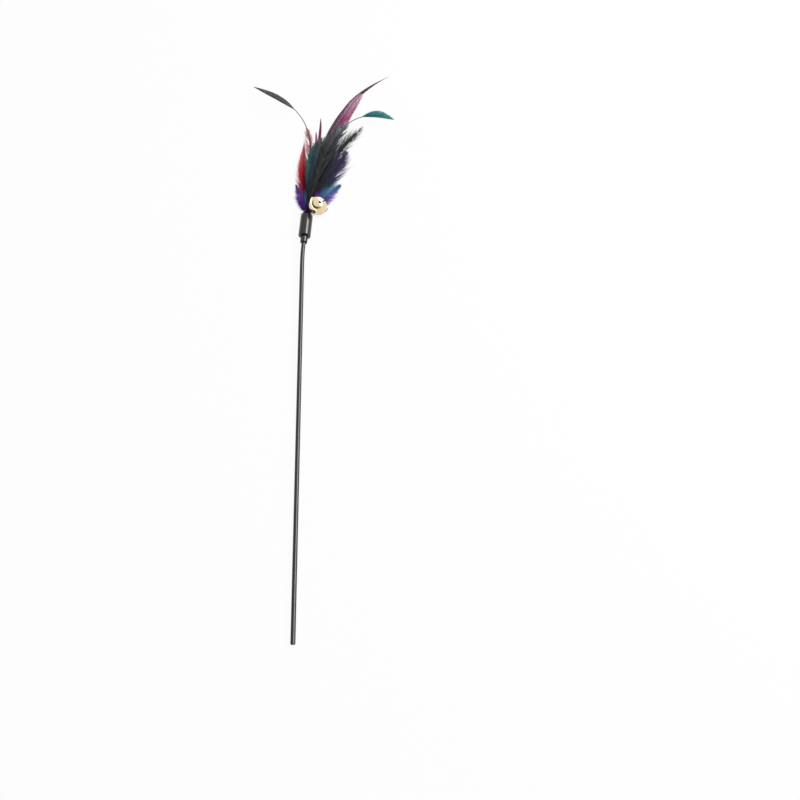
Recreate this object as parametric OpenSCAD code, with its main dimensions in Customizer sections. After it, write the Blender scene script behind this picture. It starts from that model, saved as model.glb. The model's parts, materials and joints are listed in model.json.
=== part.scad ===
// Cat teaser wand: a straight rod with a bound bunch of feathers and a jingle bell at its head.
// The rod lies along +Y with the centre of its butt end at the origin, and +Z points up.

/* [Rod] */
// Diameter of the rod
rod_d = 5; // [4:0.25:6]
// Length of the straight part, from the butt to the bend
rod_straight_l = 419; // [250:1:600]
// Radius of the slow bend just below the head
rod_bend_r = 358; // [300:1:700]
// Angle of that bend
rod_bend_a = 4.8; // [2:0.1:8]
// Rounding of the edge of the butt end
rod_round_r = 1.2; // [0.4:0.1:1.8]

/* [Collar] */
// Outer diameter of the collar, the small tube that the rod is pushed into
collar_d = 8.4; // [7.4:0.1:10]
// Length of the collar
collar_l = 22; // [18:0.5:28]
// Length of the collar that shows below the sleeve
collar_show_l = 8.3; // [5:0.1:12]
// Rounding of the collar's lower rim
collar_round_r = 0.6; // [0.2:0.1:1]

/* [Sleeve] */
// Outer diameter of the sleeve, the thick tube that holds the feathers
sleeve_d = 14.4; // [13:0.1:18]
// Length of the sleeve
sleeve_l = 28.5; // [26:0.5:40]
// Rounding of both rims of the sleeve
sleeve_round_r = 1.1; // [0.3:0.1:1.6]
// Depth of the glue's surface below the sleeve's mouth
glue_recess = 1; // [0.3:0.1:3]

/* [Quills and binding] */
// Diameter of a quill where it leaves the glue
quill_d = 0.9; // [0.6:0.05:1]
// Distance between the centres of neighbouring quills
quill_pitch = 1.15; // [1.1:0.05:1.4]
// Depth of the quills below the sleeve's mouth
quill_depth = 9; // [4:0.5:12]
// Diameter of a quill at the feather's tip
quill_tip_d = 0.22; // [0.16:0.02:0.4]
// Diameter of the binding thread
thread_d = 0.6; // [0.4:0.05:0.7]
// Distance from one turn of the binding to the next
thread_pitch = 1.05; // [1.04:0.01:1.2]
// Turns of the binding
thread_turns = 4; // [2:1:5]

/* [Tie cord] */
// Diameter of the cord that carries the bell
cord_d = 0.8; // [0.6:0.05:0.9]
// Free room between the quills and the cord's loop
loop_slack = 1.33; // [1.3:0.05:2]
// Distance of the loop from the sleeve's mouth
loop_y = 7.21; // [7.2:0.1:9]
// Place of the bell's lug round the loop, up from the right-hand side
lug_loop_a = 12; // [0:1:30]
// Place of the knot round the loop
knot_loop_a = -36; // [-60:1:-32]
// Diameter of the knot
knot_d = 1.8; // [1.4:0.1:2.2]
// Length of the knot along the loop
knot_l = 2; // [1.4:0.1:2.4]

/* [Bell] */
// Outer diameter of the bell's domes
bell_d = 21.4; // [18:0.1:22]
// Outer diameter of the rim where the two shells meet
bell_rim_d = 23; // [22.6:0.1:24]
// Thickness of the sheet that the shells are pressed from
bell_wall = 0.5; // [0.3:0.05:0.8]
// Thickness of one shell's rim
bell_rim_t = 0.6; // [0.4:0.05:1]
// Direction of the bell's front, turned from the right-hand side toward the head
bell_turn_a = 12; // [0:1:25]
// Direction of the bell's front, tipped down from straight up
bell_tip_a = 46.6; // [40:0.2:60]
// Turn of the bell's slot round its own axis
bell_slot_a = 32; // [0:1:90]
// Width of the slit in the front shell
slit_w = 1.2; // [0.8:0.1:2]
// Diameter of the round hole at each end of the slit
slit_hole_d = 3.4; // [2.4:0.1:4]
// Angle of each hole from the middle of the front shell
slit_hole_a = 31; // [22:1:36]
// Diameter of the loose pellet
pellet_d = 5.5; // [4.5:0.1:7]

/* [Lug] */
// Diameter of the lug's wire
lug_wire_d = 0.7; // [0.5:0.05:0.8]
// Diameter of the lug's eye
lug_eye_d = 1.9; // [1.8:0.05:2.2]
// Diameter of the lug's shank in the back shell
lug_shank_d = 1.4; // [1:0.1:1.8]
// Diameter of the clenched end inside the bell
lug_clench_d = 2.8; // [2.2:0.1:3.2]

/* [Long feathers] */
// Reach of the grey-brown coque feather past the sleeve
coque_left_l = 176; // [150:1:195]
// Width of its vane
coque_left_w = 8; // [6:0.2:12]
// Reach of the plum coque feather
coque_plum_l = 204; // [185:1:220]
// Width of its vane
coque_plum_w = 5.2; // [3:0.2:7]
// Reach of the teal coque feather
coque_teal_l = 146; // [130:1:160]
// Width of its vane
coque_teal_w = 9.6; // [6:0.2:12]
// Reach of the magenta feather
magenta_l = 181; // [160:1:195]
// Width of its vane
magenta_w = 12; // [8:0.2:14]

/* [Narrow feathers] */
// Reach of the crimson spike
spike_crimson_l = 142; // [125:1:155]
// Reach of the mauve spike
spike_mauve_l = 122; // [105:1:135]
// Width of each spike
spike_w = 2.6; // [1.6:0.2:4]
// Reach of the long red hackle
red_long_l = 130; // [115:1:145]
// Width of the long red hackle
red_long_w = 11; // [6:0.5:14]

/* [Hackles] */
// Reach of the red hackle on the left side
red_side_l = 110; // [95:1:120]
// Width of that hackle
red_side_w = 17; // [10:0.5:20]
// Reach of the short violet hackle on the left
violet_left_l = 50; // [40:1:56]
// Width of that hackle
violet_left_w = 14; // [8:0.5:17]
// Reach of the short violet hackle on the right
violet_right_l = 52; // [45:1:58]
// Width of that hackle
violet_right_w = 13; // [8:0.5:15]
// Reach of the indigo hackle on the right
indigo_right_l = 103; // [90:1:112]
// Width of that hackle
indigo_right_w = 23; // [14:0.5:26]
// Reach of the black hackle on the right
black_right_l = 131; // [115:1:140]
// Width of that hackle
black_right_w = 15; // [10:0.5:18]
// Reach of the slate hackle
slate_l = 135; // [120:1:145]
// Width of that hackle
slate_w = 15; // [10:0.5:18]
// Reach of the black hackle in the middle
black_centre_l = 112; // [100:1:122]
// Width of that hackle
black_centre_w = 19; // [12:0.5:22]
// Reach of the black and teal hackle on the left
black_left_l = 106; // [95:1:115]
// Width of that hackle
black_left_w = 17; // [10:0.5:20]
// Reach of the black hackle in front
black_front_l = 98; // [85:1:108]
// Width of that hackle
black_front_w = 23; // [14:0.5:26]

/* [Hidden] */
$fn = 64;

// Clearance between tubes that are pushed together, and overrun of cuts
fit_gap = 0.05;
cut = 1;
// Straight length from the bend to the collar
neck_gap = 0.5;
// How much thinner the rod is round the bend, and how far the bend laps into the straight rod
bend_neck = 0.03;
bend_lap = 0.5;
bend_lap_a = bend_lap / rod_bend_r * 180 / PI;

// Places along the head's own axis, from the end of the bend
sleeve_y = neck_gap + collar_show_l;
mouth_y = sleeve_y + sleeve_l;
collar_end_y = neck_gap + collar_l;
collar_bore_r = rod_d / 2 + fit_gap;
sleeve_bore_r = collar_d / 2 + fit_gap;

// Quills stand in four rows, offset by half a pitch, with the lowest row first
quill_rows = [3, 4, 5, 4];
row_pitch = quill_pitch * sin(60);
function quill_cell(i, row = 0) =
    i < quill_rows[row]
    ? [(i - (quill_rows[row] - 1) / 2) * quill_pitch, (row - (len(quill_rows) - 1) / 2) * row_pitch]
    : quill_cell(i - quill_rows[row], row + 1);
quill_count = quill_rows[0] + quill_rows[1] + quill_rows[2] + quill_rows[3];
bundle_r = max([for (i = [0:quill_count - 1]) norm(quill_cell(i))]) + quill_d / 2;

// Past the bound length each feather settles to a level of its own in the pile
bound_l = loop_y + lug_eye_d / 2 + lug_wire_d;
settle_l = 22;
level_pitch = 0.9;
level_low_z = -sleeve_d / 2;
// Clearance between the bundle and the binding round it
binding_gap = 0.1;
binding_r = bundle_r + binding_gap + thread_d / 2;
binding_y = 1.1;

// The loop of cord, and the bell that hangs on it by its lug
loop_r = bundle_r + loop_slack + cord_d / 2;
knot_span_a = knot_l / loop_r * 180 / PI;
lug_gap = 0.1;
eye_dist = bell_d / 2 + lug_gap + lug_wire_d + lug_eye_d / 2;
eye_at = [loop_r * cos(lug_loop_a), loop_y, loop_r * sin(lug_loop_a)];
bell_axis = [sin(bell_tip_a) * cos(bell_turn_a), sin(bell_tip_a) * sin(bell_turn_a), cos(bell_tip_a)];
bell_at = eye_at + eye_dist * bell_axis;
bell_in_r = bell_d / 2 - bell_wall;
// The eye's hole faces along the loop as squarely as the bell's own axis lets it
loop_tangent = [-sin(lug_loop_a), 0, cos(lug_loop_a)];
side_of_eye = cross(bell_axis, loop_tangent);
eye_turn_a = atan2(
    side_of_eye * [-sin(bell_turn_a), cos(bell_turn_a), 0],
    side_of_eye * cross([-sin(bell_turn_a), cos(bell_turn_a), 0], bell_axis));
lug_clench_t = 0.5;
pellet_gap = 0.1;
pellet_drop = bell_in_r - pellet_d / 2 - pellet_gap;

// Route of the cord's free end, from the knot out under the bell
tail_points = [[3.7, 7.2, -2.7], [5.5, 6.9, -3.9], [8, 6.5, -4.7], [11, 6.1, -5.1], [14, 6.3, -5.2],
    [17, 7.7, -5.2], [19.6, 10, -5.2], [21.6, 12.8, -5.2], [23, 15.6, -5.2]];
tail_sides = 8;

// Routes, as shares of a feather's reach: two handles and the tip, each across and along,
// and last how far the tip rises. Vanes: where they begin, fullness, taper, and the left side's part.
coque_left_route_shares = [[0.006, 0.625], [-0.023, 0.909], [-0.477, 1], 0.085];
coque_left_vane_shares = [0.74, 0.7, 0.7, 0.5];
coque_plum_route_shares = [[0, 0.44], [0.059, 0.843], [0.422, 1], 0.085];
coque_plum_vane_shares = [0.74, 0.7, 1.3, 0.5];
coque_teal_route_shares = [[0.03, 0.788], [0.247, 1.192], [0.658, 1], 0.035];
coque_teal_vane_shares = [0.72, 0.8, 0.6, 0.55];
magenta_route_shares = [[0.011, 0.331], [0.099, 0.762], [0.287, 1], 0.05];
magenta_vane_shares = [0.3, 0.9, 0.5, 0.52];
spike_crimson_route_shares = [[0.011, 0.352], [0.049, 0.739], [0.023, 1], 0.01];
spike_mauve_route_shares = [[0, 0.41], [0.033, 0.803], [-0.008, 1], 0.01];
spike_vane_shares = [0.5, 0.8, 0.8, 0.5];
red_long_route_shares = [[-0.008, 0.385], [0, 0.754], [-0.105, 1], 0.01];
red_long_vane_shares = [0.3, 1, 0.8, 0.7];
red_side_route_shares = [[-0.027, 0.318], [-0.127, 0.564], [-0.136, 1], 0.01];
red_side_vane_shares = [0.14, 0.5, 0.6, 0.55];
violet_left_route_shares = [[-0.04, 0.3], [-0.18, 0.52], [-0.4, 1], 0.01];
violet_left_vane_shares = [0.2, 0.6, 0.5, 0.5];
violet_right_route_shares = [[0.04, 0.34], [0.3, 0.46], [0.71, 1], 0.01];
violet_right_vane_shares = [0.3, 0.6, 0.5, 0.5];
indigo_right_route_shares = [[0.01, 0.29], [0.21, 0.56], [0.39, 1], 0.01];
indigo_right_vane_shares = [0.26, 0.6, 0.5, 0.45];
black_right_route_shares = [[0.025, 0.344], [0.22, 0.763], [0.45, 1], 0.02];
black_right_vane_shares = [0.25, 0.8, 0.6, 0.5];
slate_route_shares = [[0.04, 0.37], [0.12, 0.726], [0.285, 1], 0.01];
slate_vane_shares = [0.25, 0.8, 0.5, 0.5];
black_centre_route_shares = [[0, 0.312], [0.07, 0.67], [0.08, 1], 0.01];
black_centre_vane_shares = [0.16, 0.6, 0.5, 0.5];
black_left_route_shares = [[-0.019, 0.33], [-0.038, 0.66], [0.028, 1], 0.01];
black_left_vane_shares = [0.16, 0.6, 0.5, 0.5];
black_front_route_shares = [[0.006, 0.306], [0.163, 0.633], [0.286, 1], 0.01];
black_front_vane_shares = [0.22, 0.6, 0.5, 0.5];

black_plastic = [0.13, 0.13, 0.14];
cord_black = [0.06, 0.06, 0.07];
gold = [0.86, 0.74, 0.42];
feather_black = [0.1, 0.11, 0.12];

// Frames of the head, the sleeve's mouth and the bell
module at_head() {
    translate([rod_bend_r, rod_straight_l, 0]) rotate([0, 0, -rod_bend_a])
        translate([-rod_bend_r, 0, 0])
            children();
}

module at_mouth() {
    at_head() translate([0, mouth_y, 0]) children();
}

module at_bell() {
    at_mouth() translate(bell_at) rotate([0, bell_tip_a, bell_turn_a]) children();
}

// A cylinder along +Y that starts at the given place
module bar(r, y, l) {
    translate([0, y, 0]) rotate([-90, 0, 0]) cylinder(r = r, h = l);
}

// A tube along +Y, with its two rims rounded
module tube(outer_r, bore_r, y, l, round_low, round_high) {
    translate([0, y, 0]) rotate([-90, 0, 0]) rotate_extrude() difference() {
        translate([bore_r, 0]) square([outer_r - bore_r, l]);
        translate([outer_r - round_low, round_low]) mirror([0, 1]) rim_cut(round_low);
        translate([outer_r - round_high, l - round_high]) rim_cut(round_high);
    }
}

// The corner that a rounded rim loses
module rim_cut(r) {
    difference() {
        square(r + cut);
        circle(r);
    }
}

// A closed skin over rings of points, each ring in the same order
module skin(rings) {
    sides = len(rings[0]);
    last = len(rings) - 1;
    walls = [for (i = [0:last - 1], j = [0:sides - 1])
        let (a = i * sides + j, b = i * sides + (j + 1) % sides)
        each [[a, b + sides, b], [a, a + sides, b + sides]]];
    ends = [for (j = [1:sides - 2])
        each [[0, j, j + 1], [last * sides, last * sides + j + 1, last * sides + j]]];
    polyhedron(points = [for (ring = rings) each ring], faces = concat(walls, ends));
}

function unit(v) = v / norm(v);
// Direction of a line of points at point i
function along(points, i) = unit(points[min(i + 1, len(points) - 1)] - points[max(i - 1, 0)]);

// Rings of a round cord along a line of points
function cord_rings(points, r, sides) = [for (i = [0:len(points) - 1])
    let (dir = along(points, i), side = unit(cross(dir, [0, 0, 1])), up = cross(side, dir))
    [for (j = [0:sides - 1])
        points[i] + r * (cos(360 * j / sides) * up + sin(360 * j / sides) * side)]];

function bezier(a, b, c, d, t) =
    pow(1 - t, 3) * a + 3 * pow(1 - t, 2) * t * b + 3 * (1 - t) * t * t * c + pow(t, 3) * d;
function smooth(u) = let (v = min(max(u, 0), 1)) v * v * (3 - 2 * v);

// Point t of feather i's quill, in the mouth's frame
function quill_point(i, l, route, t) =
    let (cell = quill_cell(i),
        at = bezier([cell.x, bound_l], l * route[0], l * route[1], l * route[2], t),
        level_z = level_low_z + i * level_pitch)
    [at.x, at.y, cell.y + (level_z - cell.y) * smooth((at.y - bound_l) / settle_l)
        + route[3] * l * pow(t, 3)];

// Fullness of a vane at point t, from 0 to 1
function vane_share(vane, t) =
    let (u = (t - vane[0]) / (1 - vane[0]), peak = vane[1] / (vane[1] + vane[2]))
    u <= 0 || u >= 1 ? 0
    : pow(u / peak, vane[1]) * pow((1 - u) / (1 - peak), vane[2]);

// One feather: a round quill that flattens into a thin vane with a ridge along its middle
feather_rings = 24;
module feather(i, l, w, route, vane) {
    cell = quill_cell(i);
    steps = [for (k = [0:feather_rings]) k / feather_rings];
    points = concat([[cell.x, -quill_depth, cell.y]], [for (t = steps) quill_point(i, l, route, t)]);
    shares = concat([0], steps);
    rings = [for (k = [0:len(points) - 1])
        let (t = shares[k],
            r = (quill_tip_d + (quill_d - quill_tip_d) * pow(1 - t, 2)) / 2,
            dir = k == 0 ? [0, 1, 0] : along(points, k),
            side = unit(cross(dir, [0, 0, 1])),
            up = cross(side, dir),
            ridge_x = r * sin(22.5),
            ridge_z = r * cos(22.5),
            left = max(ridge_z, w * vane[3] * vane_share(vane, t)),
            right = max(ridge_z, w * (1 - vane[3]) * vane_share(vane, t)))
        [for (c = [[-left, ridge_x], [-ridge_x, ridge_z], [ridge_x, ridge_z], [right, ridge_x],
            [right, -ridge_x], [ridge_x, -ridge_z], [-ridge_x, -ridge_z], [-left, -ridge_x]])
            points[k] + c.x * side + c.y * up]];
    at_mouth() skin(rings);
}

// The bend is a hair thinner than the straight stretches and laps into both of them
module rod() {
    color(black_plastic) {
        rotate([-90, 0, 0]) rotate_extrude() difference() {
            square([rod_d / 2, rod_straight_l]);
            translate([rod_d / 2 - rod_round_r, rod_round_r]) mirror([0, 1]) rim_cut(rod_round_r);
        }
        translate([rod_bend_r, rod_straight_l, 0]) rotate([0, 0, 180 - rod_bend_a - bend_lap_a])
            rotate_extrude(angle = rod_bend_a + 2 * bend_lap_a)
                translate([rod_bend_r, 0]) circle(rod_d / 2 - bend_neck);
        at_head() bar(rod_d / 2, 0, collar_end_y);
    }
}

module collar() {
    color(black_plastic) at_head()
        tube(collar_d / 2, collar_bore_r, neck_gap, collar_l, collar_round_r, collar_round_r);
}

module sleeve() {
    color(black_plastic) at_head()
        tube(sleeve_d / 2, sleeve_bore_r, sleeve_y, sleeve_l, sleeve_round_r, sleeve_round_r);
}

module glue_plug() {
    color([0.32, 0.28, 0.2]) at_head() difference() {
        bar(sleeve_bore_r, collar_end_y, mouth_y - glue_recess - collar_end_y);
        for (i = [0:quill_count - 1])
            translate([quill_cell(i).x, 0, quill_cell(i).y])
                bar(quill_d / 2 + fit_gap, mouth_y - quill_depth - fit_gap, quill_depth);
    }
}

// Thread wound round the quills: a helix whose ends run straight for one thread diameter
binding_steps = 24;
binding_points = let (
        turn_rings = thread_turns * binding_steps,
        helix = [for (k = [0:turn_rings]) let (a = 360 * k / binding_steps)
            [binding_r * cos(a), binding_y + thread_pitch * k / binding_steps, -binding_r * sin(a)]],
        first = unit(helix[0] - helix[1]),
        last = unit(helix[turn_rings] - helix[turn_rings - 1]))
    concat([helix[0] + thread_d * first], helix, [helix[turn_rings] + thread_d * last]);
binding_least_gap = min([for (i = [0:len(binding_points) - 1], j = [i + binding_steps / 2:len(binding_points) - 1])
    norm(binding_points[i] - binding_points[j])]) - thread_d;
echo(binding_least_gap = binding_least_gap);

module binding() {
    color(cord_black) at_mouth() skin([for (i = [0:len(binding_points) - 1])
        let (dir = along(binding_points, i), side = unit(cross(dir, [0, 1, 0])), up = cross(side, dir))
        [for (j = [0:5]) binding_points[i] + thread_d / 2 * (cos(60 * j) * up + sin(60 * j) * side)]]);
}

// The cord's loop round the quills, with its knot wrapped round one stretch of it
module tie_cord() {
    color(cord_black) at_mouth() translate([0, loop_y, 0]) rotate([90, 0, 0]) {
        rotate_extrude() translate([loop_r, 0]) circle(cord_d / 2);
        rotate([0, 0, knot_loop_a - knot_span_a / 2])
            rotate_extrude(angle = knot_span_a) translate([loop_r, 0]) circle(knot_d / 2);
    }
}

// The cord's free end, which starts inside the knot
module cord_tail() {
    color(cord_black) at_mouth() skin(cord_rings(tail_points, cord_d / 2, tail_sides));
}

// Flat rim of one shell, on the side of +Z, rounded at its outer edge
module bell_rim() {
    rotate_extrude() {
        translate([bell_in_r, 0]) square([bell_rim_d / 2 - bell_rim_t - bell_in_r, bell_rim_t]);
        translate([bell_rim_d / 2 - bell_rim_t, 0]) intersection() {
            circle(bell_rim_t);
            square(bell_rim_t);
        }
    }
}

// Half of the bell, on the side of +Z
module bell_half() {
    difference() {
        sphere(bell_d / 2);
        sphere(bell_in_r);
        translate([0, 0, -bell_d]) cylinder(r = bell_d, h = bell_d);
    }
    bell_rim();
}

module bell_front_shell() {
    color(gold) at_bell() difference() {
        bell_half();
        rotate([0, 0, bell_slot_a]) {
            for (side = [-1, 1])
                rotate([0, side * slit_hole_a, 0])
                    cylinder(r = slit_hole_d / 2, h = bell_d / 2 + cut);
            translate([0, 0, bell_d / 2]) cube([bell_d * sin(slit_hole_a), slit_w, bell_d], center = true);
        }
    }
}

module bell_back_shell() {
    color(gold) at_bell() mirror([0, 0, 1]) difference() {
        bell_half();
        cylinder(r = lug_shank_d / 2 + fit_gap, h = bell_d);
    }
}

// A wire eye on a shank that passes through the back shell and is clenched inside
module bell_lug() {
    clench_at = sqrt(pow(bell_in_r, 2) - pow(lug_clench_d / 2, 2)) - fit_gap;
    color(gold) at_bell() mirror([0, 0, 1]) {
        translate([0, 0, eye_dist]) rotate([90, 0, eye_turn_a])
            rotate_extrude() translate([(lug_eye_d + lug_wire_d) / 2, 0]) circle(lug_wire_d / 2, $fn = 24);
        translate([0, 0, clench_at - lug_clench_t])
            cylinder(r = lug_shank_d / 2, h = eye_dist - (lug_eye_d + lug_wire_d) / 2 - clench_at + lug_clench_t);
        translate([0, 0, clench_at - lug_clench_t]) cylinder(r = lug_clench_d / 2, h = lug_clench_t);
    }
}

module bell_pellet() {
    color([0.6, 0.6, 0.62]) at_mouth() translate(bell_at - [0, 0, pellet_drop]) sphere(pellet_d / 2);
}

module violet_left() {
    color([0.42, 0.2, 0.6]) feather(0, violet_left_l, violet_left_w, violet_left_route_shares, violet_left_vane_shares);
}

module indigo_right() {
    color([0.2, 0.16, 0.34])
        feather(1, indigo_right_l, indigo_right_w, indigo_right_route_shares, indigo_right_vane_shares);
}

module violet_right() {
    color([0.4, 0.2, 0.55])
        feather(2, violet_right_l, violet_right_w, violet_right_route_shares, violet_right_vane_shares);
}

module red_side() {
    color([0.7, 0.08, 0.14]) feather(3, red_side_l, red_side_w, red_side_route_shares, red_side_vane_shares);
}

module coque_plum() {
    color([0.3, 0.14, 0.2]) feather(4, coque_plum_l, coque_plum_w, coque_plum_route_shares, coque_plum_vane_shares);
}

module coque_teal() {
    color([0.1, 0.45, 0.42]) feather(5, coque_teal_l, coque_teal_w, coque_teal_route_shares, coque_teal_vane_shares);
}

module magenta() {
    color([0.58, 0.25, 0.43]) feather(6, magenta_l, magenta_w, magenta_route_shares, magenta_vane_shares);
}

module red_long() {
    color([0.65, 0.2, 0.24]) feather(7, red_long_l, red_long_w, red_long_route_shares, red_long_vane_shares);
}

module coque_left() {
    color([0.3, 0.27, 0.26]) feather(8, coque_left_l, coque_left_w, coque_left_route_shares, coque_left_vane_shares);
}

module spike_mauve() {
    color([0.6, 0.35, 0.5]) feather(9, spike_mauve_l, spike_w, spike_mauve_route_shares, spike_vane_shares);
}

module spike_crimson() {
    color([0.5, 0.1, 0.2]) feather(10, spike_crimson_l, spike_w, spike_crimson_route_shares, spike_vane_shares);
}

module black_right() {
    color([0.14, 0.14, 0.16])
        feather(11, black_right_l, black_right_w, black_right_route_shares, black_right_vane_shares);
}

module black_left() {
    color([0.1, 0.2, 0.23]) feather(12, black_left_l, black_left_w, black_left_route_shares, black_left_vane_shares);
}

module black_centre() {
    color(feather_black)
        feather(13, black_centre_l, black_centre_w, black_centre_route_shares, black_centre_vane_shares);
}

module black_front() {
    color(feather_black)
        feather(14, black_front_l, black_front_w, black_front_route_shares, black_front_vane_shares);
}

module slate() {
    color([0.22, 0.26, 0.27]) feather(15, slate_l, slate_w, slate_route_shares, slate_vane_shares);
}

rod();
collar();
sleeve();
glue_plug();
binding();
tie_cord();
cord_tail();
bell_front_shell();
bell_back_shell();
bell_lug();
bell_pellet();
violet_left();
indigo_right();
violet_right();
red_side();
coque_plum();
coque_teal();
magenta();
red_long();
coque_left();
spike_mauve();
spike_crimson();
black_right();
black_left();
black_centre();
black_front();
slate();
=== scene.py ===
import bpy
import json
import math
import numpy as np
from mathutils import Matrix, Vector


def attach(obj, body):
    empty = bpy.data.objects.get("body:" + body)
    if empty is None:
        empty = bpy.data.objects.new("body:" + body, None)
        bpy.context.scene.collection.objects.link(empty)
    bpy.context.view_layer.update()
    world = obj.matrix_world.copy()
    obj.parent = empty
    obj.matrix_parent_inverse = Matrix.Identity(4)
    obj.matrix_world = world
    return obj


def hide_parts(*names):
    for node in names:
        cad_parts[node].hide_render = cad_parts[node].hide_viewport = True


# Cat teaser wand: feathers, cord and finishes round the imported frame
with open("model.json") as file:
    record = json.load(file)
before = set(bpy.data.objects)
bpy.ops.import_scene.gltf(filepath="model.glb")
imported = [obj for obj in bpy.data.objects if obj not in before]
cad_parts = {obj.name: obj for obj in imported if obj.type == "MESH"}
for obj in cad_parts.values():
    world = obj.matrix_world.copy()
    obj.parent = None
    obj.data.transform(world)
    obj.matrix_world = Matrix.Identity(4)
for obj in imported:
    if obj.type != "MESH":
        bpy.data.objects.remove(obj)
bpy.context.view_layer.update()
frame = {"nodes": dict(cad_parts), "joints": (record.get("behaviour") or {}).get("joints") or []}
bpy.ops.object.select_all(action="DESELECT")
mm = 0.001
print("frame loaded")

# Camera as the photo was taken: above the butt end, tipped toward the head
camera = {"place": (103.1, -20.73, 742.36), "tip": 20.0, "turn": -1.4285, "lens": 32.76}
bpy.ops.object.camera_add(
    location=[length * mm for length in camera["place"]],
    rotation=(math.radians(camera["tip"]), 0, math.radians(camera["turn"])))
bpy.context.scene.camera = bpy.context.object
bpy.context.object.data.lens = camera["lens"]
bpy.context.object.data.sensor_width = 36

# Head of the wand: the sleeve's mouth and the directions across and along it
joints = {joint["name"]: joint for joint in frame["joints"]}
mouthAt = Vector(joints["tie_turn"]["pos_m"])
headAlong = -Vector(joints["tie_turn"]["axis"]).normalized()
headUp = Vector((0, 0, 1))
headAcross = headAlong.cross(headUp)
tipward = np.array((0, 1, 0))  # headAlong, seen from the mouth


# Gives a socket its value, or a link where the value is a wire
def feed(tree, socket, value):
    if isinstance(value, Wire):
        tree.links.new(value.socket, socket)
    else:
        socket.default_value = value


# One output of a shader node, so that maths on it reads as plain arithmetic
class Wire:
    def __init__(self, tree, socket):
        self.tree = tree
        self.socket = socket

    def maths(self, operation, *values):
        node = self.tree.nodes.new("ShaderNodeMath")
        node.operation = operation
        for socket, value in zip(node.inputs, values):
            feed(self.tree, socket, value)
        return Wire(self.tree, node.outputs[0])

    def __add__(self, other):
        return self.maths("ADD", self, other)

    __radd__ = __add__

    def __sub__(self, other):
        return self.maths("SUBTRACT", self, other)

    def __rsub__(self, other):
        return self.maths("SUBTRACT", other, self)

    def __mul__(self, other):
        return self.maths("MULTIPLY", self, other)

    __rmul__ = __mul__

    def __pow__(self, other):
        return self.maths("POWER", self, other)

    def __abs__(self):
        return self.maths("ABSOLUTE", self)

    def above(self, level):
        return self.maths("GREATER_THAN", self, level)

    def clamped(self):
        return self.maths("MINIMUM", self.maths("MAXIMUM", self, 0), 1)


# Node tree of a material or of the room, with the one way to add its nodes
class Nodes:
    def __init__(self, tree):
        self.tree = tree

    def add(self, kind, settings, sockets):
        node = self.tree.nodes.new("ShaderNode" + kind)
        for name, value in settings.items():
            if name == "stops":
                for place, colour in value[2:]:
                    node.color_ramp.elements.new(place)
                for element, (place, colour) in zip(node.color_ramp.elements, value):
                    element.position = place
                    element.color = colour
            else:
                setattr(node, name, value)
        for name, value in sockets.items():
            feed(self.tree, node.inputs[name], value)
        return node

    def wire(self, kind, settings, sockets, output=0):
        return Wire(self.tree, self.add(kind, settings, sockets).outputs[output])

    def parts(self, vector):
        node = self.add("SeparateXYZ", {}, {0: vector})
        return [Wire(self.tree, output) for output in node.outputs]

    # Masks of the rays that see the pale surroundings, and of the glossy ones
    def rays(self):
        paths = self.add("LightPath", {}, {}).outputs
        camera, glossy, through = [Wire(self.tree, paths[f"Is {kind} Ray"])
                                   for kind in ("Camera", "Glossy", "Transmission")]
        return (camera + glossy + through).clamped(), glossy


# A material, with the patterns that its finish is mixed from
class Finish(Nodes):
    def __init__(self, name):
        self.material = bpy.data.materials.new(name)
        self.material.use_nodes = True
        super().__init__(self.material.node_tree)
        self.shader = self.tree.nodes["Principled BSDF"]

    def blend(self, share, first, second):
        return self.wire("Mix", {"data_type": "RGBA"}, {0: share, 6: first, 7: second}, 2)

    def vector(self, x=0, y=0, z=0):
        return self.wire("CombineXYZ", {}, {0: x, 1: y, 2: z})

    def noise(self, at, scale, detail=2):
        return self.wire("TexNoise", {}, {"Vector": at, "Scale": scale, "Detail": detail})

    def ramp(self, share, stops):
        return self.wire("ValToRGB", {"stops": stops}, {0: share})

    def objectPlace(self):
        return self.wire("TexCoord", {}, {}, "Object")

    def mapPlace(self):
        return self.wire("UVMap", {"uv_map": "OFBake"}, {}, "UV")

    def set(self, **values):
        for name, value in values.items():
            feed(self.tree, self.shader.inputs[name.replace("_", " ")], value)

    def bump(self, height, strength, distance):
        relief = {"Height": height, "Strength": strength, "Distance": distance * mm}
        self.set(Normal=self.wire("Bump", {}, relief))


# A colour as a screen shows it, made linear and opaque
def shade(colour):
    return (*(((v + 0.055) / 1.055) ** 2.4 if v > 0.04045 else v / 12.92 for v in colour), 1)


def wearFinish(finish, *pieces):
    for piece in pieces:
        piece.data.materials.clear()
        piece.data.materials.append(finish.material)


solids = frame["nodes"]


# Black plastic of the rod and tubes: glossy, with drawing marks along it and a little dust
def blackPlastic(name, look):
    finish = Finish(name)
    place = finish.objectPlace()
    x, y, z = finish.parts(place)
    tight = look["markTightness"]
    marks = finish.noise(finish.vector(x * tight, y * look["markStretch"], z * tight), 1, 3)
    haze = finish.noise(place, look["hazeScale"], 4)
    finish.set(
        Base_Color=finish.blend(haze, shade(look["dark"]), shade(look["pale"])),
        Roughness=look["roughness"] + look["haze"] * haze + look["markHaze"] * marks,
        Specular_IOR_Level=look["gloss"])
    finish.bump(marks * look["markRelief"] + haze * look["hazeRelief"], *look["bump"])
    return finish


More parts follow.
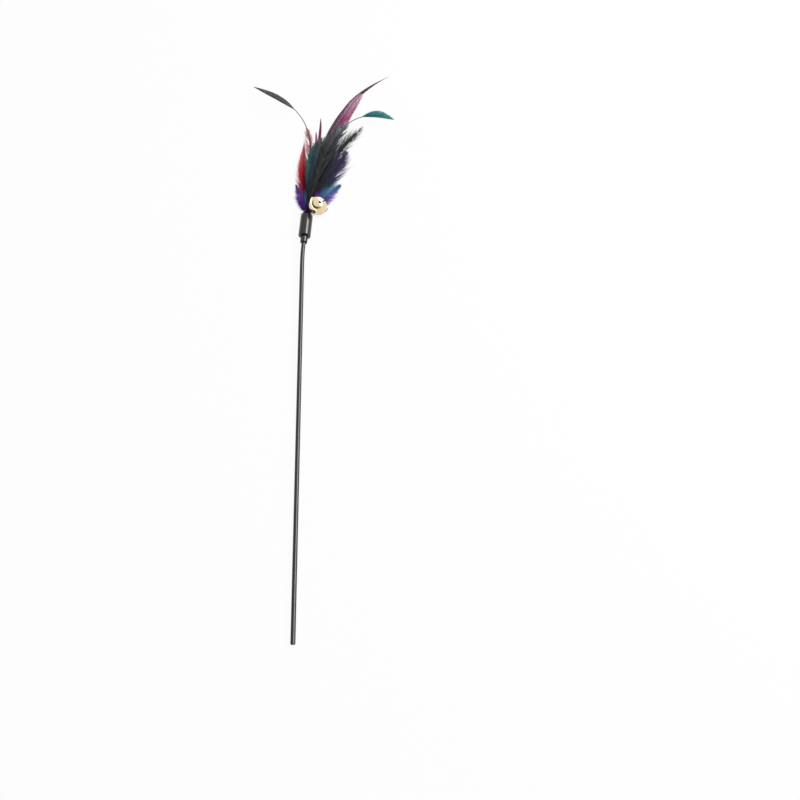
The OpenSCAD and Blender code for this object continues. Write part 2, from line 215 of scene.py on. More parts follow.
plastic = {"markStretch": 6, "markHaze": 0.05, "markRelief": 0.6, "hazeRelief": 0.4, "gloss": 0.6,
           "bump": (0.25, 0.04)}
rodLook = {**plastic, "dark": (0.05, 0.05, 0.055), "pale": (0.09, 0.09, 0.095), "roughness": 0.16,
           "haze": 0.1, "markTightness": 2600, "hazeScale": 220}
tubeLook = {**plastic, "dark": (0.045, 0.045, 0.05), "pale": (0.08, 0.08, 0.085), "roughness": 0.1,
            "haze": 0.08, "markTightness": 1500, "hazeScale": 160}
wearFinish(blackPlastic("rod plastic", rodLook), solids["rod"])
wearFinish(blackPlastic("tube plastic", tubeLook), solids["collar"], solids["sleeve"])


# Finish of one fine grain, which mixes two shades and roughens the surface
def grainFinish(name, look):
    finish = Finish(name)
    grain = finish.noise(finish.objectPlace(), look["scale"], 3)
    finish.set(
        Base_Color=finish.blend(grain, shade(look["dark"]), shade(look["pale"])),
        Roughness=look["roughness"] + look["haze"] * grain, Sheen_Weight=look["sheen"])
    finish.bump(grain, *look["bump"])
    return finish


# Clouded glue inside the sleeve's mouth
glueLook = {"dark": (0.34, 0.29, 0.2), "pale": (0.5, 0.45, 0.34), "scale": 900, "roughness": 0.25,
            "haze": 0.2, "sheen": 0, "bump": (0.5, 0.2)}
wearFinish(grainFinish("hot glue", glueLook), solids["glue_plug"])


# Polished pale gold of the bell, with fine rubbing marks and soft stains, and painted shade darkening the
# inside of its shells
def goldFinish(name, look, inside=None):
    finish = Finish(name)
    place = finish.objectPlace()
    rubbed = finish.noise(place, look["rubScale"], 5)
    stains = finish.noise(place, look["stainScale"])
    colour = finish.blend(stains, shade(look["deep"]), shade(look["pale"]))
    roughness = look["roughness"] + look["rubHaze"] * rubbed
    # Painted shade: within the given radius of the bell's middle the gold is darkened and made rougher
    if inside:
        middle, radius = inside
        reach = finish.wire("VectorMath", {"operation": "DISTANCE"}, {0: place, 1: middle}, "Value")
        shadedInside = (radius - reach).above(0)
        colour = finish.blend(shadedInside, colour, shade(look["insideShade"]))
        roughness = roughness + shadedInside * look["insideHaze"]
    finish.set(Base_Color=colour, Metallic=1, Roughness=roughness)
    finish.bump(rubbed, *look["bump"])
    return finish


# Bell's gold, and the dark colour painted as shade inside its shells, out to the inner radius
bellLook = {"deep": (0.85, 0.75, 0.54), "pale": (0.97, 0.92, 0.8), "roughness": 0.08, "bump": (0.12, 0.03),
            "rubScale": 2500, "rubHaze": 0.1, "stainScale": 160, "insideShade": (0.2, 0.16, 0.08),
            "insideHaze": 0.5, "innerRadius": 10.45}
bellMiddle = joints["bell_twist"]["pos_m"]
bellFinish = goldFinish("bell gold", bellLook, (bellMiddle, bellLook["innerRadius"] * mm))
wearFinish(bellFinish, solids["bell_front_shell"], solids["bell_back_shell"])
wearFinish(goldFinish("lug wire", bellLook), solids["bell_lug"])
steelLook = {**bellLook, "deep": (0.5, 0.5, 0.52), "pale": (0.65, 0.65, 0.67), "roughness": 0.3,
             "rubScale": 1800, "stainScale": 300}
wearFinish(goldFinish("pellet steel", steelLook), solids["bell_pellet"])
print("plastic and metal finished")

# Floor that the butt and the sleeve rest on, falling a little toward the tips
floorLook = {"size": 12, "buttDrop": -2.5, "slope": -0.0103, "colour": (0.93, 0.93, 0.93),
             "roughness": 0.9, "glow": 0.95, "clear": 0.25, "soften": 1.2}

# Bundle of quills, as in the frame: rows of neighbours, bound for a stretch above the mouth
bundle = {"rows": (3, 4, 5, 4), "pitch": 1.15, "quillWidth": 0.9, "tipWidth": 0.13, "quillDepth": 9,
          "boundLength": 8.86, "settleLength": 22, "levelPitch": 0.9, "lowestLevel": -7.2,
          "runBack": -0.3, "samples": 521}

# Room that the bell swings through, in millimetres from the mouth: round the bundle and along it.
# Barbs above its middle are drawn in and those below pressed down, changing over gradually
bellRoom = {"radius": 16.7, "along": 9.64, "swing": 1.65, "reach": 12.1, "fade": 3, "margin": 0.5,
            "turnOver": 1.5, "dip": 0.24, "under": 0.4}

# Room that the cord, its knot and the bell's lug turn in, drawn tight round the bundle
cordRoom = {"along": 7.21, "half": 2, "fade": 0.9, "radius": 2.95}


def quillCell(order):
    rows, pitch, row = bundle["rows"], bundle["pitch"], 0
    while order >= rows[row]:
        order -= rows[row]
        row += 1
    across = (order - (rows[row] - 1) / 2) * pitch
    return across, (row - (len(rows) - 1) / 2) * pitch * math.sin(math.radians(60))


def ease(share):
    held = np.clip(share, 0, 1)
    return held * held * (3 - 2 * held)


def unit(vectors):
    return vectors / np.maximum(np.linalg.norm(vectors, axis=-1, keepdims=True), 1e-9)


# Points of a quill at shares of its way, in millimetres from the mouth; below 0 it runs straight down.
# Its route, in shares of its reach: two handles, its end's place across, and its rise
def quillPoints(look, share):
    across, up = quillCell(look["order"])
    way = np.clip(share, 0, 1)[:, None]
    reach, bound = look["reach"], bundle["boundLength"]
    first, second, end, rise = look["route"]
    handles = np.array([(across / reach, bound / reach), first, second, (end, 1)]) * reach
    flat = ((1 - way) ** 3 * handles[0] + 3 * (1 - way) ** 2 * way * handles[1]
            + 3 * (1 - way) * way ** 2 * handles[2] + way ** 3 * handles[3])
    level = bundle["lowestLevel"] + look["order"] * bundle["levelPitch"]
    settled = ease((flat[:, 1] - bound) / bundle["settleLength"])
    height = up + (level - up) * settled + rise * reach * way[:, 0] ** 3
    points = np.column_stack((flat, height))
    points[:, 1] += np.minimum(share, 0) * reach
    return points


# Place and directions of a quill at any share of its way
class Quill:
    def __init__(self, look):
        self.shares = np.linspace(bundle["runBack"], 1, bundle["samples"])
        self.points = quillPoints(look, self.shares)
        self.ahead = unit(np.gradient(self.points, axis=0))
        self.side = unit(np.cross(self.ahead, (0, 0, 1)))
        self.up = np.cross(self.side, self.ahead)

    def at(self, share):
        return [np.column_stack([np.interp(share, self.shares, line[:, i]) for i in range(3)])
                for line in (self.points, self.ahead, self.side, self.up)]


# Fullness of the vane along the quill, from 0 to 1
def vaneShare(vane, share):
    start, rise, fall = vane[:3]
    way = np.clip((share - start) / (1 - start), 1e-6, 1 - 1e-6)
    peak = rise / (rise + fall)
    return np.where(share <= start, 0, (way / peak) ** rise * ((1 - way) / (1 - peak)) ** fall)


# Lines of barbs kept above the floor and out of the bell's way, which is a ring round the bundle
def kept(line):
    x, y, z = line[..., 0].copy(), line[..., 1], line[..., 2].copy()
    fade = cordRoom["fade"]
    tied = ease((cordRoom["half"] + fade - np.abs(y - cordRoom["along"])) / fade)
    drawn = 1 + (np.minimum(cordRoom["radius"] / np.maximum(np.hypot(x, z), 1e-6), 1) - 1) * tied
    x, z = x * drawn, z * drawn
    radius = np.hypot(x, z)
    aside = np.maximum(np.abs(y - bellRoom["along"]) - bellRoom["swing"], 0)
    inner = bellRoom["radius"] - np.sqrt(np.maximum(bellRoom["reach"] ** 2 - aside ** 2, 0))
    near = ease((bellRoom["reach"] + bellRoom["fade"] - aside) / bellRoom["fade"])
    past = near * ease((radius - inner + bellRoom["margin"]) / bellRoom["margin"])
    raised = ease((z + bellRoom["turnOver"]) / (2 * bellRoom["turnOver"]))
    pressed = np.minimum(z, -bellRoom["dip"] * np.abs(x) - bellRoom["under"])
    shrink = 1 + (np.minimum(inner / np.maximum(radius, 1e-6), 1) - 1) * past * raised
    z = z + (pressed - z) * past * (1 - raised)
    x, z = x * shrink, z * shrink
    ground = floorLook["buttDrop"] + floorLook["slope"] * (mouthAt.y / mm + y)
    gap = z - ground - floorLook["clear"]
    z = ground + floorLook["clear"] + (gap + np.sqrt(gap * gap + floorLook["soften"])) / 2
    return np.stack((x, y, z), axis=-1)


# The finish's map: its edges, the reach to each side of its middle, half of a barb in its space,
# half of a barbule, and the strip of the shaft
mapShape = {"range": (0.002, 0.998), "half": 0.48, "barb": 0.45, "barbule": 0.001, "shaft": 0.02}


# Gathers strands into one mesh: rows of rings, and spikes of four corners, with their places along
# and across the finish's map where it has one
class Strands:
    def __init__(self):
        self.points, self.maps, self.faces = [], [], []
        self.count = 0

    def keep(self, points, places):
        self.points.append(points.reshape(-1, 3))
        self.count += len(self.points[-1])
        if places:
            self.maps.append(np.clip(np.stack(places, axis=-1).reshape(-1, 2), *mapShape["range"]))

    def addRings(self, rings, places=None, slot=0):
        strands, length, sides = rings.shape[:3]
        index = self.count + np.arange(strands * length * sides).reshape(strands, length, sides)
        around = np.roll(index, -1, axis=2)
        quads = np.stack((index[:, :-1], index[:, 1:], around[:, 1:], around[:, :-1]), axis=-1)
        self.faces += [(quads.reshape(-1, 4), slot), (index[:, 0], slot), (index[:, -1, ::-1], slot)]
        self.keep(rings, places)

    def addSpikes(self, corners, places):
        index = self.count + np.arange(len(corners) * 4).reshape(-1, 4)
        for turn in ((0, 2, 1), (0, 1, 3), (1, 2, 3), (2, 0, 3)):
            self.faces.append((index[:, turn], 0))
        self.keep(corners, places)

    def build(self, name, finishes):
        points = np.concatenate(self.points) * mm
        placed = (points[:, :1] * np.array(headAcross) + points[:, 1:2] * np.array(headAlong)
                  + points[:, 2:] * np.array(headUp) + np.array(mouthAt))
        faces, slots = zip(*self.faces)
        counts = [len(face) for face in faces]
        corners = np.concatenate([face.ravel() for face in faces])
        sizes = np.repeat([face.shape[1] for face in faces], counts)
        mesh = bpy.data.meshes.new(name)
        mesh.vertices.add(len(placed))
        mesh.vertices.foreach_set("co", placed.ravel())
        mesh.loops.add(len(corners))
        mesh.loops.foreach_set("vertex_index", corners)
        mesh.polygons.add(len(sizes))
        mesh.polygons.foreach_set("loop_start", np.cumsum(sizes) - sizes)
        mesh.polygons.foreach_set("material_index", np.repeat(slots, counts))
        mesh.polygons.foreach_set("use_smooth", np.ones(len(sizes), bool))
        if self.maps:
            layer = mesh.uv_layers.new(name="OFBake")
            layer.data.foreach_set("uv", np.concatenate(self.maps)[corners].ravel())
        mesh.update(calc_edges=True)
        mesh.validate()
        piece = bpy.data.objects.new(name, mesh)
        bpy.context.scene.collection.objects.link(piece)
        for finish in finishes:
            piece.data.materials.append(finish.material)
        return piece


# What all barbs have in common: shares of the quill or barb, millimetres, and angles in radians.
# The values named down are what downiness adds
barb = {
    "samples": 1500, "lastEnd": 0.998, "lastRoot": 0.996, "jitter": 0.4, "leanGrowth": 0.8, "fade": 0.25,
    "fuzz": (0.6, 1.1), "fringeFrom": 0.72, "tuft": (0.4, 1.6), "leastLean": 0.16, "mostLean": 1.5,
    "shortest": 0.5, "longest": 2.2, "spare": 5, "waves": (4, 9), "phase": 6.3, "waveTurn": 0.4,
    "waveLift": 0.5, "rollSpread": 0.12, "fineTo": 1.02, "fine": 0.02, "ridge": 0.6, "downTurn": 0.2,
    "downLean": 0.34, "downRagged": 0.12, "downCut": 1.2, "downRoll": 1.5}


# Place across the map, from its middle at the shaft outward
def mapAcross(side, steps):
    return 0.5 + mapShape["half"] * side * steps


def vaneReach(look, side, outline):
    part = look["vane"][3] if side < 0 else 1 - look["vane"][3]
    return look["width"] * part * vaneShare(look["vane"], outline)


def barbLean(look, outline):
    grown = np.clip((outline - look["first"]) / (1 - look["first"]), 0, 1)
    grown = grown ** barb["leanGrowth"]
    return np.radians(look["splay"][0] + (look["splay"][1] - look["splay"][0]) * grown)


# Shares of the quill beside which the barbs end, as close at their roots as along the vane's edge
def barbEnds(look, side, chance):
    outline = np.linspace(look["first"], barb["lastEnd"], barb["samples"])
    root = outline - vaneReach(look, side, outline) / np.tan(barbLean(look, outline)) / look["reach"]
    way = np.concatenate(([0], np.cumsum(np.maximum(np.diff(outline), np.diff(root)))))
    count, jitter = look["barbs"], barb["jitter"]
    places = (np.arange(count) + 0.5 + chance.uniform(-jitter, jitter, count)) / count * way[-1]
    return np.interp(places, way, outline), way[-1] / count


# Ways of the barbs of one side, from the shaft outward: wild is 0 for an even vane and 1 for a real one
def barbLines(quill, look, side, outline, rings, chance, wild):
    count = len(outline)
    first, start = look["first"], look["vane"][0]
    fade, fringeFrom = barb["fade"], barb["fringeFrom"]
    full = vaneReach(look, side, outline)
    fuzz = look["fuzz"] * (1 - ease((outline - start) / fade)) * chance.uniform(*barb["fuzz"], count)
    fringe = look["fringe"] * (1 - ease((outline - fringeFrom) / (1 - fringeFrom)))
    full = np.maximum(full, fuzz * wild) + fringe
    down = look["down"] * wild * (1 - ease((outline - look["downTo"]) / fade))
    tuftEnds = np.cumsum(chance.uniform(*barb["tuft"], 2 * look["tufts"])) / look["tufts"]
    tuft = np.searchsorted(tuftEnds * (1 - first) + first, outline)
    middle = np.bincount(tuft, outline) / np.maximum(np.bincount(tuft), 1)
    ruffle = look["ruffle"] * wild
    angle = (barbLean(look, outline) + down * chance.normal(0, barb["downTurn"], count)
             + chance.normal(0, ruffle, count))
    angle = angle + wild * chance.normal(0, look["shake"], tuft.max() + 1)[tuft]
    angle = np.clip(angle, barb["leastLean"] + barb["downLean"] * down, barb["mostLean"])
    root = outline - full / np.tan(angle) / look["reach"]
    root = np.clip(root, first - look["run"], barb["lastRoot"])
    length = full / np.sin(angle) * (1 + chance.normal(0, look["ragged"] * wild, count)
                                     + down * chance.normal(0, barb["downRagged"], count))
    longest = look["width"] * (barb["longest"] - barb["downCut"] * down) + barb["spare"]
    length = np.clip(length, barb["shortest"], longest)
    at, ahead, sideways, up = quill.at(root)
    sideways = sideways * side
    steps = np.linspace(0, 1, rings)[None]
    wave, otherWave = [np.sin(steps * chance.uniform(*barb["waves"], (count, 1))
                              + chance.uniform(0, barb["phase"], (count, 1))) for draw in range(2)]
    turn = (angle[:, None] + math.radians(look["bend"]) * (0.5 - steps)
            + down[:, None] * barb["waveTurn"] * wave * steps)
    lift = (look["lift"] * chance.normal(0, 1, (count, 1)) * down[:, None]
            + chance.normal(0, ruffle, (count, 1)) + look["tilt"] - look["droop"] * steps
            + down[:, None] * barb["waveLift"] * otherWave * steps)
    heading = np.cos(turn)[..., None] * ahead[:, None] + np.sin(turn)[..., None] * sideways[:, None]
    heading = unit(heading * np.cos(lift)[..., None] + up[:, None] * np.sin(lift)[..., None])
    stride = (heading[:, 1:] + heading[:, :-1]) / 2 * (length / (rings - 1))[:, None, None]
    line = at[:, None] + np.concatenate((np.zeros((count, 1, 3)), np.cumsum(stride, axis=1)), axis=1)
    pull = (middle[tuft] - outline) * look["reach"] * look["gather"] * wild
    line = kept(line + (pull[:, None] * steps ** 2)[..., None] * ahead[:, None])
    return line, root, down, up


# Ribbon round each barb's way: flat across the vane, ridged on top, and fine at its tip
def barbRings(line, up, down, look, chance):
    count, rings = line.shape[:2]
    steps = np.linspace(0, 1, rings)[None]
    web = look["hair"] + (look["web"] - look["hair"]) * (1 - down[:, None]).clip(0, 1)
    narrowing = ease((steps - look["free"]) / (barb["fineTo"] - look["free"]))
    width = web * (1 - narrowing) + barb["fine"]
    roll = (look["roll"] + chance.normal(0, barb["rollSpread"], (count, 1))
            + down[:, None] * chance.normal(0, barb["downRoll"], (count, 1)))
    lineAhead = unit(np.gradient(line, axis=1))
    flatAcross = unit(np.cross(lineAhead, np.broadcast_to(up[:, None], line.shape)))
    flatUp = np.cross(flatAcross, lineAhead)
    across = flatAcross * np.cos(roll)[..., None] + flatUp * np.sin(roll)[..., None]
    half = width[..., None] / 2
    return np.stack((line - across * half, line + across * half,
                     line + np.cross(across, lineAhead) * half * barb["ridge"]), axis=2)


# Ribbons along the barbs' ways, with their places on the map, and barbules on the downy ones
def addRibbons(strands, line, up, root, space, down, look, side, chance):
    rings = line.shape[1]
    share = np.repeat(root[:, None], rings, axis=1)
    half = mapShape["barb"] * space
    along = np.stack((share - half, share + half, share), axis=-1)
    across = np.broadcast_to(mapAcross(side, np.linspace(0, 1, rings))[None, :, None], along.shape)
    strands.addRings(barbRings(line, up, down, look, chance), (along, across))
    if look["barbules"]:
        addBarbules(strands, line, root, down, look, side, chance)


# Barbs of one side of a feather, curving forward, the downy ones lifted and waved, drawn into tufts
def addBarbs(strands, quill, look, side, chance):
    outline, space = barbEnds(look, side, chance)
    line, root, down, up = barbLines(quill, look, side, outline, look["rings"], chance, 1)
    addRibbons(strands, line, up, root, space, down, look, side, chance)


webShape = {"rows": 110, "columns": 6, "thickness": 0.05, "waver": 0.22,
            "tuftRipples": 6.3, "ripples": 61}


# Web of one side: the thin sheet in which the barbs' inner parts hook together
def addWeb(strands, quill, look, side):
    low, high, reach = look["sheet"]
    outline = np.linspace(low, high, webShape["rows"])
    even = np.random.default_rng(1)
    line, root, down, up = barbLines(quill, look, side, outline, webShape["columns"], even, 0)
    whole = np.linspace(0, 1, webShape["columns"])
    ripple = np.sin(outline * look["tufts"] * webShape["tuftRipples"] + side)
    waver = 1 + webShape["waver"] * ripple * np.sin(outline * webShape["ripples"] + 2)
    steps = whole[None] * reach * waver[:, None]
    sheet = np.stack([np.stack([np.interp(place, whole, row[:, i]) for i in range(3)], axis=-1)
                      for place, row in zip(steps, line)])
    under = sheet - up[:, None] * webShape["thickness"]
    turns = (under, sheet[:, ::-1]) if side > 0 else (under[:, ::-1], sheet)
    across = mapAcross(side, steps)
    back = across[:, ::-1]
    places = np.concatenate((across, back) if side > 0 else (back, across), axis=1)
    rings = np.concatenate(turns, axis=1)
    along = np.repeat(root[:, None], rings.shape[1], axis=1)
    strands.addRings(rings[None], (along, places))


barbule = {"leastDown": 0.12, "span": (0.05, 0.98), "forward": 0.9, "lengths": (0.5, 1.2), "shorten": 0.4}


# Barbules: short spikes on all sides of the downy barbs
def addBarbules(strands, line, root, down, look, side, chance):
    chosen = np.repeat(np.nonzero(down > barbule["leastDown"])[0], look["barbules"])
    count = len(chosen)
    share = chance.uniform(*barbule["span"], count)
    place = share * (line.shape[1] - 1)
    low = np.minimum(place.astype(int), line.shape[1] - 2)
    part = (place - low)[:, None]
    at = line[chosen, low] * (1 - part) + line[chosen, low + 1] * part
    ahead = unit(line[chosen, low + 1] - line[chosen, low])
    away = unit(np.cross(ahead, chance.normal(0, 1, (count, 3))))
    heading = unit(ahead * barbule["forward"] + away)
    length = (look["barbuleLength"] * chance.uniform(*barbule["lengths"], count)
              * (1 - barbule["shorten"] * share))
    across = unit(np.cross(heading, ahead))
    other = np.cross(heading, across)
    thick = look["barbuleWidth"] / 2
    tip = at + heading * length[:, None]
    corners = np.stack((at - across * thick, at + across * thick, at + other * thick, tip), axis=1)
    corners[:, 3] = kept(corners[:, 3])
    offsets = np.array((-mapShape["barbule"], mapShape["barbule"], 0, 0))
    along = np.repeat(root[chosen][:, None], 4, axis=1) + offsets
    reachShare = np.repeat(mapAcross(side, share)[:, None], 4, axis=1)
    strands.addSpikes(corners, (along, reachShare))


shaftShape = {"sides": 8, "rings": 60, "thinning": 0.7, "flatness": 0.92}


# Shaft of a feather, from inside the glue to its tip, a little flattened on its back
def addShaft(strands, quill, look):
    share = np.concatenate(([0], np.linspace(0, 1, shaftShape["rings"])))
    at, ahead, side, up = quill.at(share)
    across, height = quillCell(look["order"])
    at[0] = (across, -bundle["quillDepth"], height)
    ahead[0], side[0], up[0] = (0, 1, 0), (1, 0, 0), (0, 0, 1)
    width = bundle["tipWidth"] + (bundle["quillWidth"] - bundle["tipWidth"]) * (1 - share) ** 2
    width = np.maximum(width, look["stem"] * (1 - shaftShape["thinning"] * share ** 3))
    turn = np.linspace(0, math.tau, shaftShape["sides"], endpoint=False)
    rounded = (np.cos(turn)[None, :, None] * side[:, None]
               + np.sin(turn)[None, :, None] * up[:, None] * shaftShape["flatness"])
    rings = (at[:, None] + rounded * width[:, None, None] / 2)[None]
    shares = np.broadcast_to(share[None, :, None], rings.shape[:3])
    middle = turn / math.tau * mapShape["shaft"] + (1 - mapShape["shaft"]) / 2
    around = np.broadcast_to(middle, rings.shape[:3])
    strands.addRings(rings, (shares, around), 1)


palette = {
    "ink": (0.06, 0.06, 0.07), "coal": (0.05, 0.05, 0.057), "soot": (0.078, 0.077, 0.086),
    "ash": (0.22, 0.23, 0.24), "grey": (0.36, 0.38, 0.38), "mist": (0.68, 0.67, 0.69),
    "slate": (0.21, 0.25, 0.27), "haze": (0.46, 0.48, 0.49), "pine": (0.08, 0.15, 0.15),
    # The first colour of the next row is the black hackle's teal sheen, painted in
    "spruce": (0.24, 0.45, 0.45), "teal": (0.12, 0.42, 0.44), "sea": (0.2, 0.56, 0.55),
    "leaf": (0.25, 0.56, 0.42), "lagoon": (0.1, 0.34, 0.42), "navy": (0.09, 0.1, 0.24),
    "cyan": (0.38, 0.74, 0.83), "blue": (0.26, 0.46, 0.8), "indigo": (0.25, 0.2, 0.37),
    "fig": (0.28, 0.18, 0.32), "violet": (0.52, 0.24, 0.78), "iris": (0.33, 0.24, 0.5),
    "purple": (0.62, 0.3, 0.88), "lilac": (0.74, 0.56, 0.9), "wine": (0.3, 0.05, 0.12),
    "crimson": (0.56, 0.05, 0.14), "claret": (0.54, 0.12, 0.26), "red": (0.88, 0.09, 0.18),
    "rose": (0.86, 0.36, 0.42), "blush": (0.93, 0.72, 0.75), "berry": (0.34, 0.09, 0.29),
    "magenta": (0.54, 0.17, 0.44), "orchid": (0.68, 0.36, 0.54), "rosy": (0.64, 0.26, 0.42),
    "mauve": (0.73, 0.58, 0.66), "plum": (0.36, 0.2, 0.25), "dusk": (0.27, 0.14, 0.18),
    "brown": (0.5, 0.2, 0.2), "umber": (0.21, 0.19, 0.2), "bark": (0.29, 0.27, 0.27)}


# Row of colours along a feather, from names parted by spaces
def tints(names, stops):
    return [(place, shade(palette[name])) for place, name in zip(stops, names.split())]


vaneLook = {"spread": 2.08, "streakWidth": 2, "patchRatio": 9, "patchWidth": 3, "patchPlane": 4,
            "mixed": 0.6, "glowFrom": 0.5, "sheenRoughness": 0.4, "bump": (0.4, 0.1)}


# Vane's finish: rows of colours along the feather, for its left edge, its middle and its right edge,
# the left one's where they aren't given
def vaneFinish(name, look):
    finish = Finish(name + " vane")
    along, across = finish.parts(finish.mapPlace())[:2]
    left, core, right = [finish.ramp(along, tints(look.get(part, look["left"]), look["stops"]))
                         for part in ("left", "core", "right")]
    offset = (across - 0.5) * vaneLook["spread"]
    edge = finish.blend(offset.above(0), left, right)
    colour = finish.blend((abs(offset) ** look["edgeHold"]).clamped(), core, edge)
    streakPlace = finish.vector(along * look["streaks"], across * vaneLook["streakWidth"])
    streak = finish.noise(streakPlace, 1, 1)
    patchPlace = finish.vector(along * (look["streaks"] / vaneLook["patchRatio"]),
                               across * vaneLook["patchWidth"], vaneLook["patchPlane"])
    patch = finish.noise(patchPlace, 1, 1)
    mixed = streak * vaneLook["mixed"] + patch * vaneLook["mixed"]
    glow = ((mixed - vaneLook["glowFrom"]) * look["contrast"]).clamped()
    colour = finish.blend(glow, colour, shade(palette[look["glint"]]))
    finish.set(Base_Color=colour, Roughness=look["roughness"], Sheen_Weight=look["sheen"],
               Sheen_Roughness=vaneLook["sheenRoughness"], Specular_IOR_Level=look["gloss"])
    finish.bump(streak, *vaneLook["bump"])
    return finish


shaftLook = {"stops": (0, 0.8), "grain": 3000, "roughness": 0.3, "haze": 0.2, "bump": (0.2, 0.02)}


def shaftFinish(name, look):
    finish = Finish(name + " shaft")
    along = finish.parts(finish.mapPlace())[0]
    grain = finish.noise(finish.objectPlace(), shaftLook["grain"])
    finish.set(
        Base_Color=finish.ramp(along, tints(look["shaft"], shaftLook["stops"])),
        Roughness=shaftLook["roughness"] + shaftLook["haze"] * grain)
    finish.bump(grain, *shaftLook["bump"])
    return finish


# What each kind of feather has in common
hackle = {
    "barbs": 400, "rings": 6, "first": -0.04, "run": 0, "down": 0.9, "downTo": 0.3, "splay": (50, 20),
    "bend": 34, "lift": 0.42, "droop": 0.25, "tilt": 0.05, "ruffle": 0.035, "ragged": 0.13, "shake": 0.05,
    "roll": 0.25, "tufts": 15, "gather": 0.2, "hair": 0.18, "web": 0.42, "free": 0.5, "fringe": 0.2,
    "barbules": 12, "barbuleLength": 1.5, "barbuleWidth": 0.12, "fuzz": 4.5, "stem": 0.3, "edgeHold": 1,
    "streaks": 300, "contrast": 0.65, "glint": "ash", "roughness": 0.55, "sheen": 0.02, "gloss": 0.25,
    "sheet": (0.3, 0.994, 0.62), "shaft": "ash coal", "stops": (0, 0.3, 0.6, 1)}
fluff = {
    **hackle, "slot": "violet_hackle", "barbs": 640, "ruffle": 0.12, "shake": 0.1, "down": 1, "downTo": 1.2,
    "splay": (64, 34), "bend": 10, "lift": 0.5, "droop": 0.1, "tufts": 9, "gather": 0.25, "hair": 0.26,
    "barbules": 15, "barbuleLength": 1.8, "barbuleWidth": 0.16, "fringe": 1.2, "sheet": None}
blackHackle = {
    **hackle, "slot": "black_hackle", "ragged": 0.2, "shake": 0.08, "free": 0.7, "sheet": (0.3, 0.96, 0.56)}
coque = {
    **hackle, "barbs": 300, "rings": 5, "down": 0, "splay": (26, 14), "bend": 10, "lift": 0, "droop": 0.12,
    "tilt": 0.03, "ruffle": 0.005, "ragged": 0.03, "shake": 0.008, "tufts": 40, "web": 0.46, "free": 0.85,
    "run": 0.1, "barbules": 0, "fuzz": 0.35, "stem": 1.25, "contrast": 0.4, "roughness": 0.42, "sheen": 0,
    "gloss": 0.4, "sheet": (0.74, 0.996, 0.84)}
spike = {
    **coque, "barbs": 170, "stem": 0.6, "splay": (18, 9), "first": 0.45, "fringe": 0.1, "width": 3.4,
    "vane": (0.5, 0.8, 0.8, 0.5), "sheet": (0.52, 0.994, 0.8)}

